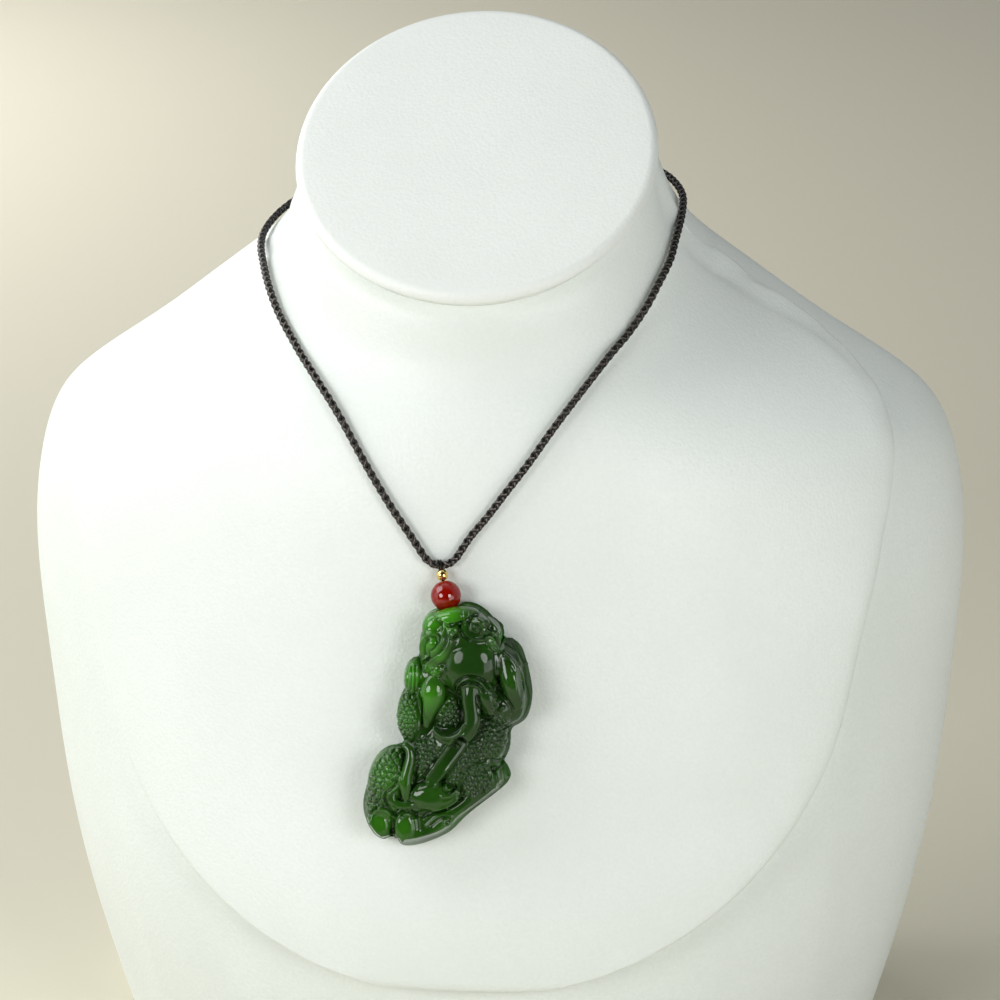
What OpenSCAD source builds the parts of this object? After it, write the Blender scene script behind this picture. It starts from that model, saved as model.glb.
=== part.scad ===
// Carved jade pixiu pendant on a braided cord, worn on a white leatherette neck bust.
// The bust stands on z = 0 and faces -Y. All sizes are in millimetres.

/* [Neck bust] */
// Width across the shoulders
bust_w = 240; // [225:1:255]
// Depth from the chest to the flat back
bust_d = 132; // [126:1:138]
// Height of the middle of the neck, under its cap
neck_h = 234; // [228:1:240]
// Slant of the top of the neck, in degrees
neck_slant = 30.5; // [24:0.5:32]
// Thickness of the raised front
front_t = 6; // [5:0.5:7]
// Clear space between two pieces that lie on each other
seat_gap = 0.6; // [0.5:0.1:0.8]

/* [Neck cap] */
// Width of the slanted cap
cap_w = 86; // [84:1:90]
// Thickness of the cap
cap_t = 9; // [8:0.5:11]

/* [Cord and beads] */
// Thickness of the braided cord
cord_d = 1.9; // [1.6:0.1:2]
// Thickness of the thread through the beads
thread_d = 0.8; // [0.6:0.1:0.9]
// Width of the gold bead
gold_d = 2.8; // [2.5:0.1:3]
// Width of the red agate bead
red_d = 7.1; // [6.9:0.1:7.2]
// Width of the holes drilled for the thread
bore_d = 1.1; // [1:0.1:1.3]

/* [Jade pixiu] */
// Width of the carving
jade_w = 40; // [39:0.5:41.5]
// Height of the carving
jade_h = 60; // [58:0.5:61]
// Thickness of its flat back plate
plate_t = 5; // [4:0.5:6]

/* [Hidden] */

// Sections of the core, from the base up. Columns: height as a share of neck_h, half width as a share of
// bust_w / 2, then the front, widest and back lines as shares of bust_d / 2, and the slant as a share.
SECTIONS = [
    [0.000, 0.82, -0.850, 0.42, 0.94, 0],
    [0.130, 0.895, -0.890, 0.49, 0.97, 0],
    [0.265, 0.95, -0.890, 0.55, 1.00, 0],
    [0.406, 0.98, -0.753, 0.61, 1.00, 0],
    [0.543, 1.00, -0.605, 0.65, 1.00, 0],
    [0.641, 0.98, -0.510, 0.66, 1.00, 0],
    [0.720, 0.915, -0.435, 0.64, 0.99, 0.02],
    [0.782, 0.73, -0.370, 0.58, 0.96, 0.10],
    [0.828, 0.54, -0.320, 0.49, 0.91, 0.25],
    [0.872, 0.405, -0.265, 0.38, 0.84, 0.50],
    [0.926, 0.33, -0.223, 0.30, 0.76, 0.80],
    [1.000, 0.29, -0.223, 0.255, 0.70, 1]
];
LAST = len(SECTIONS) - 1;
FRONT_POWER = 2.05;
BACK_POWER = 3.2;

// Smooth curve through four neighbouring values, t from 0 to 1 between b and c
function curve(a, b, c, d, t) =
    0.5 * (2 * b + (c - a) * t + (2 * a - 5 * b + 4 * c - d) * t * t + (3 * b - a - 3 * c + d) * t * t * t);
function section(s) =
    let (i = min(floor(s), LAST - 1), t = s - i)
    [for (k = [0:5]) curve(SECTIONS[max(i - 1, 0)][k], SECTIONS[i][k],
                           SECTIONS[i + 1][k], SECTIONS[min(i + 2, LAST)][k], t)];
function power(v, p) = sign(v) * pow(abs(v), p);

// A point of the core's surface: s counts sections from the base, a is the turn from the front
function skin(s, a) =
    let (c = section(s), w = c[1] * bust_w / 2, middle = c[3] * bust_d / 2,
         reach = (cos(a) > 0 ? c[2] : c[4]) * bust_d / 2 - middle,
         p = cos(a) > 0 ? FRONT_POWER : BACK_POWER,
         x = w * power(sin(a), 2 / p),
         y = middle + reach * pow(abs(cos(a)), 2 / p))
    [x, y, c[0] * neck_h + (y - middle) * tan(neck_slant * c[5])];

// The same point moved out along the surface's normal, and at the top within the neck's slanted top
NECK_TOP = [0, -sin(neck_slant), cos(neck_slant)];
function unit(v) = v / norm(v);
function out(s, a, d) =
    let (e = 0.02, low = max(s - e, 0), high = min(s + e, LAST),
         n = unit(cross(skin(s, a + 1) - skin(s, a - 1), skin(high, a) - skin(low, a))),
         flat = s == LAST ? unit(n - (n * NECK_TOP) * NECK_TOP) : n)
    skin(s, a) + d * flat;

// How far round from the front the raised front reaches at each section, in degrees
SIDE_EDGE = [
    [3.8, 48], [4.4, 51.5], [5.0, 54.5], [5.6, 59], [6.2, 66], [6.8, 75], [7.4, 83],
    [8.0, 88], [8.6, 92], [9.2, 94], [9.8, 95], [11.0, 96]
];
function side_edge(s) = lookup(s, SIDE_EDGE);

// Behind that edge the neck and shoulders come up flush with the raised front
function back_rise(s) =
    let (t = max(0, min(1, (s - 6.6) / 1.8)))
    (front_t + seat_gap) * t * t * (3 - 2 * t);

// Faces of a stack of closed rings of n points each, from the bottom up, with flat ends
function stack_faces(rows, n) = concat(
    [for (i = [0:rows - 2], j = [0:n - 1])
        [i * n + j, (i + 1) * n + j, (i + 1) * n + (j + 1) % n, i * n + (j + 1) % n]],
    [[for (j = [0:n - 1]) j]],
    [[for (j = [n - 1:-1:0]) (rows - 1) * n + j]]);

// Steps across the front and the back of a ring, and the edge's slot between them, in degrees
HALF_STEPS = 22;
SLOT = [0.5, 2];
CORE_ROWS = 2 * LAST + 1;
function core_ring(s) =
    let (near = side_edge(s) + SLOT[0], far = side_edge(s) + SLOT[1])
    concat([for (j = [0:HALF_STEPS]) skin(s, near * (2 * j / HALF_STEPS - 1))],
           [for (j = [0:HALF_STEPS]) out(s, far + (360 - 2 * far) * j / HALF_STEPS, back_rise(s))]);

module bust_body() {
    color("white")
    polyhedron([for (i = [0:CORE_ROWS - 1]) each core_ring(i / 2)],
               stack_faces(CORE_ROWS, 2 * HALF_STEPS + 2), convexity = 6);
}

// Rows of the raised front, from the cap down: section number, and degrees from the middle to its edge
ROUND_FROM = 3.8;
ROUND_TO = 1.75;
ROUND_STEPS = 10;
FRONT_ROWS = concat(
    [for (i = [0:14]) let (s = LAST - i / 2) [s, side_edge(s)]],
    [for (i = [1:ROUND_STEPS]) let (t = 86 * i / ROUND_STEPS)
        [ROUND_FROM + (ROUND_TO - ROUND_FROM) * sin(t), side_edge(0) * cos(t)]]);
// Places across the raised front, as shares of its half width, and how much of the thickness each has
ACROSS = concat([[-1, 0.45], [-0.985, 0.8], [-0.96, 1]], [for (k = [-8:8]) [k / 9, 1]],
                [[0.96, 1], [0.985, 0.8], [1, 0.45]]);

// Faces of a bent plate: outer and inner grids of rows by n points, closed round the edge
function plate_faces(rows, n) =
    let (inner = rows * n)
    concat(
        [for (i = [0:rows - 2], j = [0:n - 2])
            [i * n + j, i * n + j + 1, (i + 1) * n + j + 1, (i + 1) * n + j]],
        [for (i = [0:rows - 2], j = [0:n - 2])
            [inner + i * n + j, inner + (i + 1) * n + j, inner + (i + 1) * n + j + 1, inner + i * n + j + 1]],
        [for (i = [0:rows - 2])
            [i * n, (i + 1) * n, inner + (i + 1) * n, inner + i * n]],
        [for (i = [0:rows - 2])
            [i * n + n - 1, inner + i * n + n - 1, inner + (i + 1) * n + n - 1, (i + 1) * n + n - 1]],
        [for (j = [0:n - 2])
            [j, inner + j, inner + j + 1, j + 1]],
        [for (j = [0:n - 2]) let (k = (rows - 1) * n + j)
            [k, k + 1, inner + k + 1, inner + k]]);

module bust_front() {
    rows = len(FRONT_ROWS);
    outer = [for (i = [0:rows - 1], c = ACROSS)
        out(FRONT_ROWS[i][0], c[0] * FRONT_ROWS[i][1],
            seat_gap + front_t * c[1] * (i == rows - 1 ? 0.6 : 1))];
    inner = [for (i = [0:rows - 1], c = ACROSS)
        out(FRONT_ROWS[i][0], c[0] * FRONT_ROWS[i][1], seat_gap)];
    color("white")
    polyhedron(concat(outer, inner), plate_faces(rows, len(ACROSS)), convexity = 4);
}

// The cap lies on the slanted top of the neck; its rim is rounded and its face slightly domed
CAP_ROUND = 4;
module neck_cap() {
    top = section(LAST);
    color("white")
    translate([0, top[3] * bust_d / 2, neck_h])
    rotate([neck_slant, 0, 0])
    translate([0, 0, 0.3])
    rotate_extrude($fn = 96)
    polygon(concat(
        [[0, 0]],
        [for (t = [-90:15:90]) [cap_w / 2 - CAP_ROUND + CAP_ROUND * cos(t), CAP_ROUND + CAP_ROUND * sin(t)]],
        [[cap_w / 4, cap_t - 0.4], [0, cap_t]]));
}

// The cord's middle line: from the point of the V up the left arm, round the back of the neck and down
// the right arm, back to the same point
CORD_ROUTE = [
    [-5, -40.1, 157], [-7, -40, 157.5], [-8.6, -39.6, 158.7], [-9.7, -39.1, 160.2], [-12.2, -38, 163.8],
    [-17, -35.6, 170.3], [-23, -31.5, 179], [-30, -25, 189], [-35.5, -18.5, 194.5], [-41, -10.5, 199],
    [-47, 0, 204], [-50.5, 8.5, 207.5], [-53, 17.5, 209.5], [-55, 27, 211], [-55, 36, 212],
    [-52, 45.5, 213.5], [-46, 53, 215.5], [-36, 58, 218], [-24.5, 60.5, 220], [-8, 61.8, 221.8],
    [9.5, 61.5, 223], [27.5, 58.5, 223], [37, 54.5, 223], [44, 47.5, 222.5], [48, 38, 221.5],
    [48.5, 27.5, 220], [47.5, 16.5, 217.5], [46.5, 9, 215], [44, 2, 211.5], [41.5, -3.5, 208],
    [37.5, -9, 203.5], [33, -15.2, 199.7], [22, -27.5, 188.3], [15.5, -32.2, 180], [10.5, -35, 174],
    [5.8, -36.9, 168], [2.2, -38, 163.8], [-0.3, -39.1, 160.2], [-1.4, -39.6, 158.7], [-3, -40, 157.5]
];
CORD_SIDES = 8;
CORD_RINGS = 80;

// A point of the closed route, t from 0 to 1 round the loop
function route(t) =
    let (n = len(CORD_ROUTE), u = (t - floor(t)) * n, i = floor(u), f = u - i)
    curve(CORD_ROUTE[(i + n - 1) % n], CORD_ROUTE[i % n], CORD_ROUTE[(i + 1) % n],
          CORD_ROUTE[(i + 2) % n], f);

module neck_cord() {
    // each ring stands square to the route, its first side turned up
    rings = [for (i = [0:CORD_RINGS - 1]) let (
        t = i / CORD_RINGS, p = route(t), along = unit(route(t + 0.002) - route(t - 0.002)),
        side = unit(cross(along, [0, 0, 1])), up = cross(side, along))
        for (j = [0:CORD_SIDES - 1]) let (a = 360 * j / CORD_SIDES)
            p + cord_d / 2 * (cos(a) * side + sin(a) * up)];
    color([0.15, 0.11, 0.1])
    polyhedron(rings, [for (i = [0:CORD_RINGS - 1], j = [0:CORD_SIDES - 1])
        let (here = i * CORD_SIDES, next = ((i + 1) % CORD_RINGS) * CORD_SIDES, k = (j + 1) % CORD_SIDES)
        [here + j, here + k, next + k, next + j]], convexity = 8);
}

// The pendant hangs in the plane of the chest: its X runs right, Y up along the chest and Z off it
CHEST_LEAN = 16.6;
HANG_POINT = [-5, -38.2, 157];
module on_chest() {
    translate(HANG_POINT) rotate([90 - CHEST_LEAN, 0, 0]) children();
}

// The thread leaves the V of the cord and runs straight through both beads into the jade
THREAD_START = [0, -0.4, 1.8];
THREAD_WAY = unit([1.5, -6.3, 2.5]);
gold_at = cord_d / 2 + gold_d / 2 + 0.1;
red_at = gold_at + gold_d / 2 + red_d / 2 + 0.1;
jade_at = red_at + red_d / 2 + 0.1;
THREAD_DEEP = 4;
module along_thread(distance) {
    on_chest()
    translate(THREAD_START + distance * THREAD_WAY)
    rotate([0, acos(THREAD_WAY[2]), atan2(THREAD_WAY[1], THREAD_WAY[0])])
    children();
}

module hang_thread() {
    start = cord_d / 2 + 0.2;
    color([0.15, 0.11, 0.1])
    along_thread(start) cylinder(d = thread_d, h = jade_at + THREAD_DEEP - start, $fn = 24);
}

module bead(size) {
    difference() {
        sphere(d = size, $fn = 64);
        cylinder(d = bore_d, h = 2 * size, center = true, $fn = 24);
    }
}

module gold_bead() {
    color("gold") along_thread(gold_at) bead(gold_d);
}

module red_bead() {
    color("firebrick") along_thread(red_at) bead(red_d);
}

// The carving's forms are drawn at this width and height, measured from the point of the V
DRAWN_W = 40;
DRAWN_H = 58;
// The back plate's outline, clockwise from the top of the head
PLATE = [
    [2, -12], [8, -11], [12, -13], [14.5, -15.5], [18.5, -16], [20, -19], [21.5, -24], [22, -30],
    [21, -34], [19, -36], [17, -37], [16.5, -41], [14.5, -44.5], [17, -46], [17, -49], [15, -52],
    [8, -58], [2, -62.5], [-4, -65], [-9, -65], [-10.5, -63], [-14, -63], [-16.5, -60], [-17.5, -56],
    [-16, -49], [-12.5, -43], [-8, -40], [-8.5, -36], [-9, -32], [-7.5, -28], [-7.5, -24], [-5, -21],
    [-4, -17], [-2.5, -13.5]
];
// Rounded forms of the carving. Columns: middle x, y and height off the back, half sizes along x, y and
// the height, and the turn in degrees.
FORMS = [
    [5.8, -18.2, 6, 9.3, 8.6, 6, 0],         // head
    [7.9, -19.8, 8, 7, 7.2, 6.5, 0],         // forehead dome
    [5.2, -10.4, 10, 6.2, 3, 3.1, 12],       // band over the forehead
    [0.4, -13, 8.6, 3.2, 3.4, 3, 30],        // left end of the band
    [10.4, -12, 8, 3.6, 3.4, 3.6, -35],      // right slope of the head
    [10, -12.8, 9.5, 3.6, 3.2, 3.3, 0],      // right temple curl
    [13.5, -16.6, 8.5, 2.4, 2.4, 2.6, 0],    // small curl beside it
    [-0.8, -15, 8, 3.1, 4.2, 3.8, -6],       // left temple curl
    [1.2, -23.5, 8, 2.2, 2.2, 2.8, 0],       // knob under the left curl
    [-0.8, -30.2, 8.5, 3, 6.2, 4, -8],       // left ear
    [17, -24.4, 8.5, 2.9, 6.4, 3.4, 27],     // right ear
    [9, -29, 8, 5, 4, 4.6, 0],               // brow
    [18.3, -19.5, 4, 3, 4, 4.2, 15],         // right shoulder, top
    [19.5, -26.5, 4.2, 2.8, 6, 4.4, 8],      // right shoulder
    [19, -33, 4, 2.8, 3.4, 4, -10],          // right shoulder, foot
    [-6.2, -33.4, 4.5, 3.3, 5.6, 5, 4],      // left shoulder
    [-5.7, -25.4, 4, 2.2, 4, 4, -6],         // raised left paw
    [2.8, -33.4, 6.5, 4.2, 5.2, 4.2, 0],     // chest
    [5.5, -42, 5, 10, 9, 6.2, -20],          // body
    [13.2, -39.5, 5, 4.8, 7.4, 5.6, -10],    // right flank
    [-2.5, -43.5, 6.5, 4.6, 6, 4.6, -15],    // left flank
    [10.3, -48.8, 4.6, 6.8, 4.4, 5.4, 30],   // right haunch
    [15.6, -47.4, 4, 2.2, 2.8, 4.2, 25],     // right toes
    [-11.8, -49.4, 4.5, 5.6, 8.4, 6, -14],   // left haunch
    [-14, -55.5, 4, 3.9, 5, 4.6, 0],         // left leg
    [-13.4, -60.2, 3.6, 2.9, 3.8, 4.2, 8],   // left toe
    [-7.6, -61.4, 4, 3.1, 4.2, 4.8, 4],      // middle toe
    [-0.8, -53, 8, 5, 3.9, 4.4, 10],         // tail
    [-6.9, -47, 8, 1.8, 5.4, 4, -8],         // tail, left plume
    [5.2, -53, 7.5, 3.4, 2.4, 3.4, 30],      // tail, right plume
    [0, -59.5, 4, 6.4, 4.6, 4.6, 35],        // right leg
    [8, -54.6, 3.6, 5.4, 2.8, 3.8, 38]       // heel
];
// Raised bars of round section. Columns: x, y, height off the back and radius.
HORN_HOOK = [[6.5, -28, 11, 2.4], [7.4, -31, 12, 2.1], [8.9, -34, 12.3, 1.7], [9.3, -37.5, 12.2, 1.5],
             [7.4, -40, 11.9, 1.4], [3.4, -40.6, 11.6, 1.2], [0.4, -39.2, 11.2, 1], [0.2, -37, 10.8, 0.8]];
HORN_LOBE = [[9.4, -28.4, 11, 2.6], [12, -31, 11.2, 2.5], [13.4, -33.6, 10.6, 2.1]];
TEMPLE_LOCK = [[1.8, -12.8, 11.4, 0.9], [2.3, -16, 11.8, 1.2], [0.8, -19.6, 11.2, 1.1], [-1.8, -22, 10, 0.9]];
SPINE = [[4.6, -41.5, 10.2, 2.1], [1.4, -46.6, 10.4, 2], [-1.2, -50.4, 10, 1.8]];
TAIL_HOOK = [[-8, -50, 10.6, 0.8], [-10, -51.4, 10.8, 0.8], [-10.2, -54, 11, 0.9], [-7.4, -55.6, 11.2, 1.1]];
TAIL_CURL = [[4.8, -51.6, 10.4, 1], [6.6, -50.4, 10.2, 0.9], [6.2, -48.8, 10, 0.8], [4.6, -49, 10, 0.7]];

module form(f) {
    translate([f[0], f[1], f[2]]) rotate(f[6])
    hull() scale([f[3], f[4], f[5]]) sphere(1, $fn = 16);
}

module bar(points) {
    for (i = [0:len(points) - 2])
        hull() for (p = [points[i], points[i + 1]])
            translate([p[0], p[1], p[2]]) sphere(p[3], $fn = 10);
}

// The plate's edge is rounded in steps. Columns: from and to as shares of its thickness, and the inset.
PLATE_STEPS = [[0, 0.15, 0.5], [0.15, 0.75, 0], [0.75, 0.9, 0.5], [0.9, 1, 1.2]];
JADE_CLEAR = 0.5;
HALF_SPACE = 80;

module jade_pixiu() {
    color([0.1, 0.35, 0.12])
    difference() {
        on_chest() translate([0, 0, JADE_CLEAR])
        scale([jade_w / DRAWN_W, jade_h / DRAWN_H, 1])
        intersection() {
            union() {
                for (s = PLATE_STEPS)
                    translate([0, 0, s[0] * plate_t]) linear_extrude((s[1] - s[0]) * plate_t)
                    offset(delta = -s[2]) polygon(PLATE);
                for (f = FORMS) form(f);
                for (b = [HORN_HOOK, HORN_LOBE, TEMPLE_LOCK, SPINE, TAIL_HOOK, TAIL_CURL]) bar(b);
            }
            translate([-HALF_SPACE, -HALF_SPACE, 0]) cube([2 * HALF_SPACE, HALF_SPACE, HALF_SPACE]);
        }
        along_thread(red_at) cylinder(d = bore_d, h = red_d / 2 + THREAD_DEEP + 0.6, $fn = 12);
    }
}

bust_body();
bust_front();
neck_cap();
neck_cord();
hang_thread();
gold_bead();
red_bead();
jade_pixiu();
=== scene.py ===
from math import pi, radians, sqrt
import bpy
import numpy as np
from mathutils import Matrix, Vector
from mathutils.bvhtree import BVHTree
from mathutils.kdtree import KDTree


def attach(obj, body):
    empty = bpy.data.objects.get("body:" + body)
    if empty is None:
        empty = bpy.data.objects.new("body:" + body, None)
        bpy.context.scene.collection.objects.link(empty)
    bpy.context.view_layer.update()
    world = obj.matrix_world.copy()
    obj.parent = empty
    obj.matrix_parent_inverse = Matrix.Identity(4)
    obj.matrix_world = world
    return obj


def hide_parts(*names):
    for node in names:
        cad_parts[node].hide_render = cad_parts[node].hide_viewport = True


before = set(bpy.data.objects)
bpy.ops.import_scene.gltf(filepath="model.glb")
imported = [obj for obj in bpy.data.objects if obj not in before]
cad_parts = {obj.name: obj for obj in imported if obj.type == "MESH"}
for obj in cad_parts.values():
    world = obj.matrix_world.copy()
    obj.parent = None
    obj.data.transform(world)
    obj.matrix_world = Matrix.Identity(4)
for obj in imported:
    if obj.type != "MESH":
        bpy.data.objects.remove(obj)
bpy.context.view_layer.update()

# The picture is taken from a little to the right of the middle and 25 degrees above the chest, with a
# long lens, and leans by a degree and a half. Lengths in this file are metres.
AIM = Vector((0.0086, -0.0318, 0.1704))
AIM_DISTANCE = 0.9
AZIMUTH, ELEVATION, LEAN = radians(6), radians(25), radians(-1.5)
LENS = 137.9

turned = Matrix.Rotation(AZIMUTH, 4, "Z") @ Matrix.Rotation(pi / 2 - ELEVATION, 4, "X")
turned = turned @ Matrix.Rotation(LEAN, 4, "Z")
bpy.ops.object.camera_add(location=AIM + turned @ Vector((0, 0, AIM_DISTANCE)), rotation=turned.to_euler())
camera = bpy.context.object
camera.name = "camera"
camera.data.lens = LENS
camera.data.sensor_width = 36
camera.data.clip_start = 0.05
camera.data.clip_end = 50
bpy.context.scene.camera = camera


# The neck cord is one loop, 0.37 m round, of dark brown waxed polyester, a four strand round braid 1.9 mm
# thick. It lies on the chest and round the back of the neck, and its point carries the pendant.
CORD_D = 0.0019
CORD_ROUTE = [
    (-0.005, -0.0401, 0.157), (-0.007, -0.04, 0.1575), (-0.0086, -0.0396, 0.1587),
    (-0.0097, -0.0391, 0.1602), (-0.0122, -0.038, 0.1638), (-0.017, -0.0356, 0.1703),
    (-0.023, -0.0315, 0.179), (-0.03, -0.025, 0.189), (-0.0355, -0.0185, 0.1945),
    (-0.041, -0.0105, 0.199), (-0.047, 0, 0.204), (-0.0505, 0.0085, 0.2075), (-0.053, 0.0175, 0.2095),
    (-0.055, 0.027, 0.211), (-0.055, 0.036, 0.212), (-0.052, 0.0455, 0.2135), (-0.046, 0.053, 0.2155),
    (-0.036, 0.058, 0.218), (-0.0245, 0.0605, 0.22), (-0.008, 0.0618, 0.2218), (0.0095, 0.0615, 0.223),
    (0.0275, 0.0585, 0.223), (0.037, 0.0545, 0.223), (0.044, 0.0475, 0.2225), (0.048, 0.038, 0.2215),
    (0.0485, 0.0275, 0.22), (0.0475, 0.0165, 0.2175), (0.0465, 0.009, 0.215), (0.044, 0.002, 0.2115),
    (0.0415, -0.0035, 0.208), (0.0375, -0.009, 0.2035), (0.033, -0.0152, 0.1997),
    (0.022, -0.0275, 0.1883), (0.0155, -0.0322, 0.18), (0.0105, -0.035, 0.174), (0.0058, -0.0369, 0.168),
    (0.0022, -0.038, 0.1638), (-0.0003, -0.0391, 0.1602), (-0.0014, -0.0396, 0.1587),
    (-0.003, -0.04, 0.1575),
]
BRAID_LAY = 0.0043
STRANDS_EACH_WAY = 2
STRAND_STEPS = 2000
STRAND_SIDES = 12
STRAND_HALF_W, STRAND_HALF_T = 0.00056, 0.0004
STRAND_R, STRAND_WEAVE = 0.00046, 0.00014


def spline(points, steps, closed=False):
    """Evenly numbered points on a smooth curve through the given ones."""
    p = np.array(points, float)
    n = len(p)
    u = np.arange(steps) / steps * n if closed else np.linspace(0, n - 1, steps)
    i = np.minimum(u.astype(int), n - 1 if closed else n - 2)
    t = (u - i)[:, None]
    near = [(i + k) % n if closed else np.clip(i + k, 0, n - 1) for k in (-1, 0, 1, 2)]
    a, b, c, d = (p[k] for k in near)
    return 0.5 * (2 * b + (c - a) * t + (2 * a - 5 * b + 4 * c - d) * t**2 + (3 * b - a - 3 * c + d) * t**3)


def unit(v):
    return v / np.linalg.norm(v, axis=-1, keepdims=True)


def loop_frames(line):
    """Two directions square to a closed line at each point, carried along it with no twist at the join."""
    along = unit(np.roll(line, -1, 0) - np.roll(line, 1, 0))
    side = np.zeros_like(line)
    side[0] = unit(np.cross(along[0], (0, 0, 1)))
    for i in range(1, len(line)):
        s = side[i - 1] - along[i] * (side[i - 1] @ along[i])
        side[i] = s / np.linalg.norm(s)
    up = np.cross(side, along)
    last = side[-1] - along[0] * (side[-1] @ along[0])
    miss = np.arctan2(np.cross(side[0], last) @ along[0], side[0] @ last)
    turn = (-miss * np.arange(len(line)) / len(line))[:, None]
    cross = np.cross(along, side)
    return along, np.cos(turn) * side + np.sin(turn) * cross, np.cos(turn) * cross - np.sin(turn) * side


def tube_mesh(name, rings, closed):
    """A mesh through rings of points, with its length in the UV map's second direction."""
    steps, sides = rings.shape[:2]
    spans = steps if closed else steps - 1
    faces = []
    for i in range(spans):
        j = (i + 1) % steps
        for k in range(sides):
            m = (k + 1) % sides
            faces.append((i * sides + k, i * sides + m, j * sides + m, j * sides + k))
    if not closed:
        faces.append(tuple(range(sides))[::-1])
        faces.append(tuple((steps - 1) * sides + k for k in range(sides)))
    mesh = bpy.data.meshes.new(name)
    mesh.from_pydata(rings.reshape(-1, 3).tolist(), [], faces)
    middle = rings.mean(1)
    run = np.concatenate([[0], np.cumsum(np.linalg.norm(np.diff(middle, axis=0), axis=1))])
    uv = mesh.uv_layers.new(name="lay")
    flat = []
    for i in range(spans):
        for k in range(sides):
            a, b = run[i], run[i + 1] if i + 1 < steps else run[i] + run[1]
            flat += [k / sides, a, (k + 1) / sides, a, (k + 1) / sides, b, k / sides, b]
    flat += [0.0] * (2 * len(mesh.loops) - len(flat))
    uv.data.foreach_set("uv", flat)
    piece = bpy.data.objects.new(name, mesh)
    bpy.context.collection.objects.link(piece)
    mesh.shade_smooth()
    return piece


def pick(*pieces):
    """Selects these objects alone, the first of them active."""
    bpy.ops.object.select_all(action="DESELECT")
    for piece in pieces:
        piece.select_set(True)
    bpy.context.view_layer.objects.active = pieces[0]


def shader(name, constants):
    """A new material with its node tree and its shader, the shader's sockets set to these constants."""
    material = bpy.data.materials.new(name)
    material.use_nodes = True
    skin = material.node_tree.nodes["Principled BSDF"]
    for socket, value in constants.items():
        skin.inputs[socket].default_value = value
    return material, material.node_tree, skin


def node(tree, kind, links=(), **values):
    """A node of that kind. Links are pairs of its socket and the socket that feeds it."""
    made = tree.nodes.new("ShaderNode" + kind)
    for key, value in values.items():
        setattr(made, key, value)
    for socket, source in links:
        if hasattr(source, "is_output"):
            tree.links.new(source, made.inputs[socket])
        else:
            made.inputs[socket].default_value = source
    return made


def result(tree, operation, *values):
    """The result of a sum with sockets and numbers."""
    return node(tree, "Math", enumerate(values), operation=operation).outputs[0]


def noise(tree, scale, detail, place=None, distortion=0):
    """A noise pattern, over the piece itself where no other place is given."""
    if place is None:
        place = node(tree, "TexCoord").outputs["Object"]
    return node(tree, "TexNoise", [("Vector", place), ("Scale", scale), ("Detail", detail),
                                   ("Distortion", distortion)]).outputs["Fac"]


def bumped(tree, skin, height, strength, distance):
    """Gives the shader a relief of that height."""
    bump = node(tree, "Bump", [("Height", height), ("Strength", strength), ("Distance", distance)])
    tree.links.new(bump.outputs["Normal"], skin.inputs["Normal"])


def coloured(tree, factor, stops, fed=None):
    """A colour ramp of (place, colour) stops for a factor, which may feed a socket. A number is a grey."""
    ramp = node(tree, "ValToRGB", [("Fac", factor)])
    elements = ramp.color_ramp.elements
    while len(elements) < len(stops):
        elements.new(0.5)
    for element, (place, colour) in zip(elements, stops):
        element.position = place
        element.color = (*(colour if isinstance(colour, tuple) else (colour,) * 3), 1)
    if fed is not None:
        tree.links.new(ramp.outputs["Color"], fed)
    return ramp.outputs["Color"]


line = spline(CORD_ROUTE, STRAND_STEPS, closed=True)
along, side, up = loop_frames(line)
run = np.linalg.norm(np.diff(line, axis=0, append=line[:1]), axis=1)
turns = round(run.sum() / BRAID_LAY)
phase = 2 * pi * turns * np.concatenate([[0], np.cumsum(run)[:-1]]) / run.sum()
strands = []
for way in (1, -1):
    for k in range(STRANDS_EACH_WAY):
        angle = way * phase + (2 * k + (way < 0)) * pi / STRANDS_EACH_WAY
        reach = STRAND_R + way * STRAND_WEAVE * np.sin(STRANDS_EACH_WAY * phase)
        out = np.cos(angle)[:, None] * side + np.sin(angle)[:, None] * up
        middle = line + reach[:, None] * out
        heading = unit(np.roll(middle, -1, 0) - np.roll(middle, 1, 0))
        wide = unit(np.cross(heading, out))
        high = np.cross(wide, heading)
        round_ = 2 * pi * np.arange(STRAND_SIDES) / STRAND_SIDES
        rings = (middle[:, None] + STRAND_HALF_W * np.cos(round_)[None, :, None] * wide[:, None]
                 + STRAND_HALF_T * np.sin(round_)[None, :, None] * high[:, None])
        strands.append(tube_mesh("strand", rings, closed=True))
pick(*strands)
bpy.ops.object.join()
cord = bpy.context.object
cord.name = "braided_cord"

waxed, tree, skin = shader("waxed_cord", {"Specular IOR Level": 0.3})
uv = node(tree, "UVMap", uv_map="lay").outputs["UV"]
fibres = node(tree, "Mapping", [("Vector", uv), ("Scale", (8, 900, 1))]).outputs["Vector"]
twist = noise(tree, 1.6, 3, place=fibres)
# Painted highlight: the base colour is lighter along each strand's outer crest, over its near black brown
round_strand = result(tree, "MULTIPLY", node(tree, "SeparateXYZ", [("Vector", uv)]).outputs["X"], 2 * pi)
crest = result(tree, "SINE", round_strand)
painted_crest_glint = result(tree, "MULTIPLY", result(tree, "MULTIPLY_ADD", twist, 0.4, crest), 0.7)
coloured(tree, painted_crest_glint, [(0.6, (0.002, 0.0015, 0.001)), (0.77, (0.01, 0.0075, 0.006)),
                        (0.87, (0.16, 0.137, 0.12))], skin.inputs["Base Color"])
coloured(tree, noise(tree, 900, 2), [(0.35, 0.15), (0.7, 0.26)], skin.inputs["Roughness"])
bumped(tree, skin, twist, 0.5, 0.00008)
cord.data.materials.clear()
cord.data.materials.append(waxed)
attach(cord, "root")
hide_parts("neck_cord")


# The core of the bust is a moulded body, 240 mm wide over the shoulders and flat at the back, with a tight
# cover of white leatherette glued on. Its base and the slanted end of its neck are flat.
FINE_STEPS = 2
SHARP_FOLD, FLAT_FOLD, QUAD_FOLD = radians(50), radians(1), radians(60)
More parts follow.
